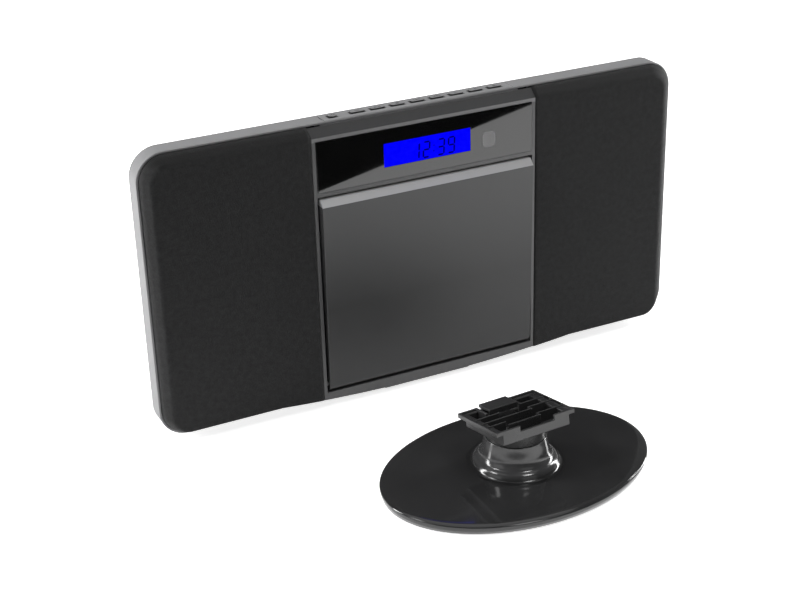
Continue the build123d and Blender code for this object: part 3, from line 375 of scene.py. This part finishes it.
def ring_piece(name, rings, slot_name, body, replaced=(), pole=False, loop=False):
    """A surface through rings of points, an array of ring, point round the ring, and X Y Z.

    Ring points close on themselves. Pole closes the last ring with a fan to its middle, and loop
    joins the last ring to the first.
    """
    count, around, _ = rings.shape
    points = rings.reshape(-1, 3)
    ring, step = np.meshgrid(np.arange(count if loop else count - 1), np.arange(around), indexing="ij")
    onward = (step + 1) % around
    outer = (ring + 1) % count
    faces = np.stack([ring * around + step, ring * around + onward,
                      outer * around + onward, outer * around + step], -1).reshape(-1, 4).tolist()
    if pole:
        last = (count - 1) * around
        here = np.arange(around)
        fan = np.stack([last + here, last + (here + 1) % around, np.full(around, len(points))], -1)
        points = np.vstack([points, rings[-1].mean(0)])
        faces += fan.tolist()
    mesh = bpy.data.meshes.new(name)
    mesh.from_pydata(points.tolist(), [], faces)
    mesh.polygons.foreach_set("use_smooth", np.ones(len(mesh.polygons), bool))
    mesh.update()
    piece = bpy.data.objects.new(name, mesh)
    bpy.context.scene.collection.objects.link(piece)
    paint(piece, finishes[slot_name])
    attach(piece, body)
    if replaced:
        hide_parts(*replaced)
    return piece


def thicken(piece, thickness):
    """Gives a surface that thickness on its inner side."""
    solid = piece.modifiers.new("thickness", "SOLIDIFY")
    solid.thickness = thickness
    solid.offset = -1.0
    return piece


def stretch(a, b, count):
    """Points from a towards b, the last one left out."""
    share = np.linspace(0, 1, count, endpoint=False)[:, None]
    return np.array(a) + share * (np.array(b) - np.array(a))


def arc(centre, radius, start, end, count):
    """Points on a circle from angle start to end in degrees, the last one left out."""
    angle = np.radians(np.linspace(start, end, count, endpoint=False))
    return np.array(centre) + radius * np.stack([np.cos(angle), np.sin(angle)], -1)


def bezier(a, b, c, d, count):
    """Cubic curve a(1-t)^3 + 3b(1-t)^2 t + 3c(1-t)t^2 + d t^3, with its last point left out."""
    t = np.linspace(0, 1, count, endpoint=False)[:, None]
    a, b, c, d = (np.array(p, float) for p in (a, b, c, d))
    return a * (1 - t) ** 3 + 3 * b * (1 - t) ** 2 * t + 3 * c * (1 - t) * t**2 + d * t**3


# The lower edge of the cabinet: an arc that drops 5.5 mm over 118 mm each side of the middle.
BOW_HALF, BOW_DROP = 118 * MM, 5.5 * MM
BOW_RADIUS = (BOW_HALF**2 + BOW_DROP**2) / (2 * BOW_DROP)


def grille_outline(seam, outer, low, high, radius, rise):
    """One speaker field's outline in X and Z, from the seam's top corner round by the outer side.

    The lower edge follows z = rise + R - sqrt(R^2 - x^2) up to low and is straight from there.
    """
    bow_radius = BOW_RADIUS - rise
    bow_end = math.sqrt(bow_radius**2 - (BOW_RADIUS - low) ** 2)
    x = np.linspace(bow_end, seam, 24, endpoint=False)
    bow = np.stack([x, BOW_RADIUS - np.sqrt(bow_radius**2 - x**2)], -1)
    return np.vstack([
        stretch((seam, high), (outer - radius, high), 40),
        arc((outer - radius, high - radius), radius, 90, 0, 20),
        stretch((outer, high - radius), (outer, low + radius), 50),
        arc((outer - radius, low + radius), radius, 0, -90, 20),
        stretch((outer - radius, low), (bow_end, low), 24),
        bow,
        stretch((seam, BOW_RADIUS - math.sqrt(bow_radius**2 - seam**2)), (seam, high), 50),
    ])


def grille(side, name):
    """Cloth pulled over one speaker frame.

    Ring k lies f(k) of the way over the bevel: drawn in by 6.0 f at the side, 5.5 f at the top and
    2.0 f at the bottom, and forward by 6.2 min(f, 1) with the ridge at f = 1 rounded off by the
    curve through f = 0.7, 1 and 1.45. From there the rings shrink to the middle of the flat face.
    """
    low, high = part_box(name)
    outer = max(abs(low.x), abs(high.x))
    seam = min(abs(low.x), abs(high.x))
    back = high.y
    front = low.y
    rim_low = BOW_DROP + 2.5 * MM
    t = np.linspace(0, 1, 9)
    over = np.concatenate([[0.0, 0.35], 0.7 * (1 - t) ** 2 + 2 * t * (1 - t) + 1.45 * t**2])
    forward = np.concatenate([[0.0, 0.35], 0.7 * (1 - t) ** 2 + 2 * t * (1 - t) + t**2])
    rings = []
    edge = grille_outline(seam, outer, rim_low, high.z, 17.5 * MM, 2.5 * MM)
    for depth in (back, -0.4 * MM):
        rings.append(np.column_stack([edge[:, 0], np.full(len(edge), depth), edge[:, 1]]))
    for f, g in zip(over, forward):
        turned = max(0.0, f - 0.8)
        line = grille_outline(seam + 1.1 * MM * turned, outer - 6.0 * MM * f, rim_low + 2.0 * MM * f,
                              high.z - 5.5 * MM * f, (17.5 - 6.0 * f) * MM, (2.5 + 2.0 * f) * MM)
        depth = np.full(len(line), -1.0 * MM + g * (front + 1.0 * MM))
        rings.append(np.column_stack([line[:, 0], depth, line[:, 1]]))
    face_edge = rings[-1]
    middle = face_edge.mean(0)
    for share in (0.97, 0.85, 0.65, 0.4, 0.15):
        rings.append(middle + (face_edge - middle) * share)
    rings = np.array(rings)
    rings[:, :, 0] *= side
    if side < 0:
        rings = rings[:, ::-1]
    cloth = ring_piece("cloth_" + name.split("_")[0], rings, "grille_cloth", "unit", (name,), pole=True)
    thicken(cloth, 0.6 * MM)
    return cloth


grille(-1, "left_grille_cloth")
grille(1, "right_grille_cloth")


# The stand is turned by 4 degrees on the table about its own axis.
STAND_TURN = math.radians(4.0)
neck_low, neck_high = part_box("stand_neck")
STAND_X = (neck_low.x + neck_high.x) / 2
STAND_Y = (neck_low.y + neck_high.y) / 2


def on_stand(x, y, z):
    """Points given about the stand's axis, turned and moved to where it stands."""
    c, s = math.cos(STAND_TURN), math.sin(STAND_TURN)
    return np.stack([STAND_X + c * x - s * y, STAND_Y + s * x + c * y, z], -1)


def stand_base():
    """Oval dish: ring k is an ellipse with half axes a(k), b(k) at height z(k).

    The wall leans out to the rim and rolls over it in a quarter round of 1.1 mm. From there the top
    climbs as 6.29 + 0.45 (1 - exp(-u / 1.2)) over u mm inward, so it flattens out with no line, and
    then rises to the crown by 1.5 sin(pi s / 2) for s from 0 beside the rim to 1 at the neck.
    """
    half_width, half_depth, wall_top, crown = 95.7, 68.7, 5.2, 8.2
    roll_radius, climb_height, climb_run, inner_radius = 1.1, 0.45, 1.2, 24.0
    wall = np.array([(0.9, 1.3, 0.8), (0.35, 0.5, 3.2), (0.0, 0.0, wall_top)])
    turn = np.radians(np.linspace(0, 84, 8)[1:])
    roll_inset = roll_radius * (1 - np.cos(turn))
    roll = np.stack([roll_inset, roll_inset, wall_top + roll_radius * np.sin(turn)], -1)
    inset = np.vstack([wall, roll])
    half = np.column_stack([half_width - inset[:, 0], half_depth - inset[:, 1], inset[:, 2]])
    s = (np.linspace(0, 1, 34)[1:, None]) ** 2
    rim = half[-1]
    inward = rim[:2] + (inner_radius - rim[:2]) * s
    climb = climb_height * (1 - np.exp(-(rim[0] - inward[:, :1]) / climb_run))
    rise = (crown - rim[2] - climb_height) * np.sin(math.pi * s / 2)
    half = np.vstack([half, np.column_stack([inward, rim[2] + climb + rise])]) * MM
    angle = np.linspace(0, 2 * math.pi, 192, endpoint=False)[None, :]
    x = half[:, 0:1] * np.cos(angle)
    y = half[:, 1:2] * np.sin(angle)
    z = half[:, 2:3] + 0 * angle
    dish = ring_piece("base_dish", on_stand(x, y, z), "stand_gloss", "stand", ("stand_base",))
    return thicken(dish, 1.8 * MM)


def stand_neck():
    """Turned neck: a radius and height profile of five cubic curves, carried round the axis.

    A skirt lifts off the dish and swells into a soft foot, and a hollow flare runs up to the collar.
    """
    profile = np.vstack([
        np.array([(33.2, 7.9)]),
        bezier((33.2, 8.12), (31.0, 8.2), (29.5, 8.6), (28.7, 10.0), 16),
        bezier((28.7, 10.0), (28.0, 11.6), (26.9, 12.6), (25.6, 13.2), 18),
        bezier((25.6, 13.2), (24.0, 14.0), (22.9, 16.0), (22.3, 19.0), 18),
        bezier((22.3, 19.0), (21.8, 22.0), (20.9, 25.0), (20.5, 28.0), 12),
        bezier((20.5, 28.0), (20.5, 28.3), (20.3, 28.5), (20.0, 28.5), 4),
        np.array([(17.5, 28.5), (17.5, 7.9)]),
    ]) * MM
    angle = np.linspace(0, 2 * math.pi, 144, endpoint=False)[None, :]
    radius = profile[:, 0:1]
    rings = on_stand(radius * np.cos(angle), radius * np.sin(angle), profile[:, 1:2] + 0 * angle)
    neck = ring_piece("neck_turned", rings, "stand_gloss", "stand", ("stand_neck",), loop=True)
    # Painted light on the neck: lighter above 12.4 mm as a painted reflection of the bright table, and
    # darker on the foot below as painted shade.
    gloss = moulded("neck_gloss", grey(0.012), grey(0.015), (0.14, 0.18), depth=0.0000002)
    paint(neck, painted_light_above(gloss, 12.4 * MM, grey(0.043), 2.8 * MM))
    neck.data.set_sharp_from_angle(angle=math.radians(60))
    return neck


stand_base()
stand_neck()


def flat_piece(name, outlines, y, finish):
    """Thin shapes of print facing the front at depth y. Each outline is X and Z, clockwise from behind."""
    points, faces = [], []
    for shape in outlines:
        faces.append(list(range(len(points), len(points) + len(shape))))
        points += [(x, y, z) for x, z in shape]
    mesh = bpy.data.meshes.new(name)
    mesh.from_pydata(points, [], faces)
    mesh.update()
    piece = bpy.data.objects.new(name, mesh)
    bpy.context.scene.collection.objects.link(piece)
    paint(piece, finish)
    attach(piece, "unit")
    return piece


def segment(x, z, length, thickness, upright):
    """Six-cornered bar of a seven-segment digit about its middle."""
    h, t = length / 2, thickness / 2
    if upright:
        return [(x, z - h), (x + t, z - h + t), (x + t, z + h - t),
                (x, z + h), (x - t, z + h - t), (x - t, z - h + t)]
    return [(x - h, z), (x - h + t, z - t), (x + h - t, z - t),
            (x + h, z), (x + h - t, z + t), (x - h + t, z + t)]


DIGIT_BARS = {"1": "bc", "2": "abged", "3": "abgcd", "9": "abcdfg"}


def clock_reading(text, left, low, width, height, step, lean):
    """Seven-segment digits that lean to the right by lean, each width by height, step apart."""
    half = height / 2
    shapes = []
    x = left
    for letter in text:
        if letter == ":":
            shapes += [segment(x, low + share * height, 0.9, 0.9, True) for share in (0.32, 0.68)]
            x += step * 0.42
            continue
        places = {"a": (width / 2, height, width, False), "g": (width / 2, half, width, False),
                  "d": (width / 2, 0, width, False), "b": (width, 1.5 * half, half, True),
                  "c": (width, 0.5 * half, half, True), "e": (0, 0.5 * half, half, True),
                  "f": (0, 1.5 * half, half, True)}
        for bar_name in DIGIT_BARS[letter]:
            dx, dz, length, upright = places[bar_name]
            shapes.append(segment(x + dx, low + dz, length - 0.5, 1.0, upright))
        x += step
    return [[((px + lean * (pz - low)) * MM, pz * MM) for px, pz in shape] for shape in shapes]


panel_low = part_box("lcd_panel")[0]
digit_ink = moulded("lcd_digits", (0.0, 0.0, 0.10), (0.0, 0.0, 0.16), (0.3, 0.4),
                    grain=900.0, depth=0.000001, Specular_IOR_Level=0.0)
digit_low = panel_low.z / MM + 1.6
flat_piece("lcd_reading", clock_reading("12:39", -11.6, digit_low, 4.6, 11.0, 8.0, 0.06),
           panel_low.y - 0.03 * MM, digit_ink)

# Printed dots in front of the receiver: six columns of up to seven, with the corners left out.
DOT_STEP_X, DOT_STEP_Z, DOT_RADIUS = 1.75, 1.65, 0.38
eye_low, eye_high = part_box("ir_receiver")
eye_x = (eye_low.x + eye_high.x) / 2
eye_z = (eye_low.z + eye_high.z) / 2
grid = [(DOT_STEP_X * i, DOT_STEP_Z * j)
        for i in (-2.5, -1.5, -0.5, 0.5, 1.5, 2.5) for j in range(-3, 4) if i * i + j * j < 13]
corner = [(DOT_RADIUS * math.cos(a), DOT_RADIUS * math.sin(a))
          for a in (math.radians(45 * k + 22.5) for k in range(8))]
dots = [[(eye_x + (x + dx) * MM, eye_z + (z + dz) * MM) for dx, dz in corner] for x, z in grid]
dot_ink = moulded("receiver_dots", grey(0.75), grey(0.95), (0.3, 0.5), patch=500.0)
flat_piece("receiver_dots", dots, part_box("display_window")[0].y - 0.02 * MM, dot_ink)


# ---------------------------------------------------------------- table, light and camera

# The table ends in front of the object, so glossy faces mirror its edge and the dark beyond it.
EDGE_POINT = Vector((0.084, -0.404, 0.0))
EDGE_WAY = Vector((0.929, -0.370, 0.0))
EDGE_INWARD = Vector((0.370, 0.929, 0.0))
corners = [EDGE_POINT - 4 * EDGE_WAY, EDGE_POINT + 4 * EDGE_WAY,
           EDGE_POINT + 4 * EDGE_WAY + 5 * EDGE_INWARD, EDGE_POINT - 4 * EDGE_WAY + 5 * EDGE_INWARD]
table_mesh = bpy.data.meshes.new("table_top")
table_mesh.from_pydata([tuple(c) for c in corners], [], [(0, 1, 2, 3)])
table_top = bpy.data.objects.new("table_top", table_mesh)
bpy.context.scene.collection.objects.link(table_top)
white = Finish("table_white")
paths = white.nodes.new("ShaderNodeLightPath").outputs
white.set(Base_Color=(0.86, 0.86, 0.86, 1.0), Roughness=0.9, Specular_IOR_Level=0.1)
# Painted shadow: seen in reflections the table glows 1.9 far in front and only 0.45 close to the cabinet,
# where its shadow would fall.
table_glow_painted_shadow = white.span(white.axes()[1], -0.36, -0.06, 1.9, 0.45)
mirrored = white.math("MULTIPLY", paths["Is Glossy Ray"], table_glow_painted_shadow)
glow = white.math("MULTIPLY_ADD", paths["Is Camera Ray"], 0.75, mirrored)
white.set(Emission_Color=(1.0, 1.0, 1.0, 1.0), Emission_Strength=glow)
paint(table_top, white)

world = bpy.data.worlds.new("surroundings")
bpy.context.scene.world = world
world.use_nodes = True
sky = world.node_tree.nodes
wires = world.node_tree.links
ray = sky.new("ShaderNodeLightPath")
way = sky.new("ShaderNodeTexCoord")
parts = sky.new("ShaderNodeSeparateXYZ")
wires.new(way.outputs["Generated"], parts.inputs[0])


def ramp(source, low, high, start, end):
    """A world value that runs from start to end while source runs from low to high."""
    made = sky.new("ShaderNodeMapRange")
    for socket, value in zip(made.inputs[1:5], (low, high, start, end)):
        socket.default_value = value
    wires.new(source, made.inputs["Value"])
    return made.outputs[0]


def product(a, b):
    """The product of two world values."""
    made = sky.new("ShaderNodeMath")
    made.operation = "MULTIPLY"
    wires.new(a, made.inputs[0])
    wires.new(b, made.inputs[1])
    return made.outputs[0]


above = ramp(parts.outputs["Z"], -0.02, 0.05, 0.02, 1.0)
low_sky = ramp(parts.outputs["Z"], 0.3, 0.8, 1.0, 0.5)
behind = ramp(parts.outputs["Y"], -0.3, 0.5, 0.20, 0.22)
surround = product(product(above, low_sky), behind)
pick = sky.new("ShaderNodeMix")
pick.data_type = "FLOAT"
wires.new(ray.outputs["Is Camera Ray"], pick.inputs["Factor"])
wires.new(surround, pick.inputs["A"])
pick.inputs["B"].default_value = 1.0
wires.new(pick.outputs[0], sky["Background"].inputs["Strength"])
sky["Background"].inputs["Color"].default_value = (1.0, 1.0, 1.0, 1.0)


def lamp(name, place, aim, size, power):
    """A soft square lamp that points at aim."""
    light = bpy.data.lights.new(name, "AREA")
    light.shape = "RECTANGLE"
    light.size, light.size_y = size
    light.energy = power
    holder = bpy.data.objects.new(name, light)
    bpy.context.scene.collection.objects.link(holder)
    holder.location = place
    holder.rotation_euler = (Vector(aim) - Vector(place)).to_track_quat("-Z", "Y").to_euler()
    return holder


lamp("lamp_over", (0.0, 0.35, 1.7), (0.0, 0.0, 0.0), (2.0, 1.6), 8.0)
lamp("lamp_left_top", (-0.93, 0.13, 1.18), (0.0, -0.1, 0.0), (0.30, 0.30), 5.5)
lamp("lamp_right_top", (0.24, -0.68, 1.20), (0.0, -0.1, 0.0), (0.30, 0.30), 4.5)
lamp("lamp_left", (-1.5, -0.3, 0.6), (0.0, -0.1, 0.1), (0.9, 0.9), 2.5)
lamp("lamp_front", (0.2, -1.8, 1.0), (0.0, 0.0, 0.08), (1.2, 0.8), 1.8)
lamp("lamp_strip_left", (-1.12, 0.52, 0.45), (0.0, -0.145, 0.03), (0.18, 0.9), 14.0)
lamp("lamp_strip_right", (1.26, 0.08, 0.45), (0.0, -0.145, 0.03), (0.18, 0.9), 14.0)

scene = bpy.context.scene
scene.view_settings.view_transform = "Standard"
lens = bpy.data.cameras.new("camera")
lens.lens = 71.03
lens.sensor_width = 36.0
lens.clip_start = 0.05
camera = bpy.data.objects.new("camera", lens)
scene.collection.objects.link(camera)
scene.camera = camera
AZIMUTH, ELEVATION, ROLL = (math.radians(v) for v in (-25.901, 25.055, -1.719))
TARGET = Vector((-0.020904, 0.0, 0.067889))
DISTANCE = 1.127606
back = Vector((math.sin(AZIMUTH) * math.cos(ELEVATION), -math.cos(AZIMUTH) * math.cos(ELEVATION),
               math.sin(ELEVATION)))
camera.location = TARGET + back * DISTANCE
level = (-back).to_track_quat("-Z", "Y").to_matrix().to_4x4()
camera.rotation_euler = (level @ Matrix.Rotation(ROLL, 4, "Z")).to_euler()
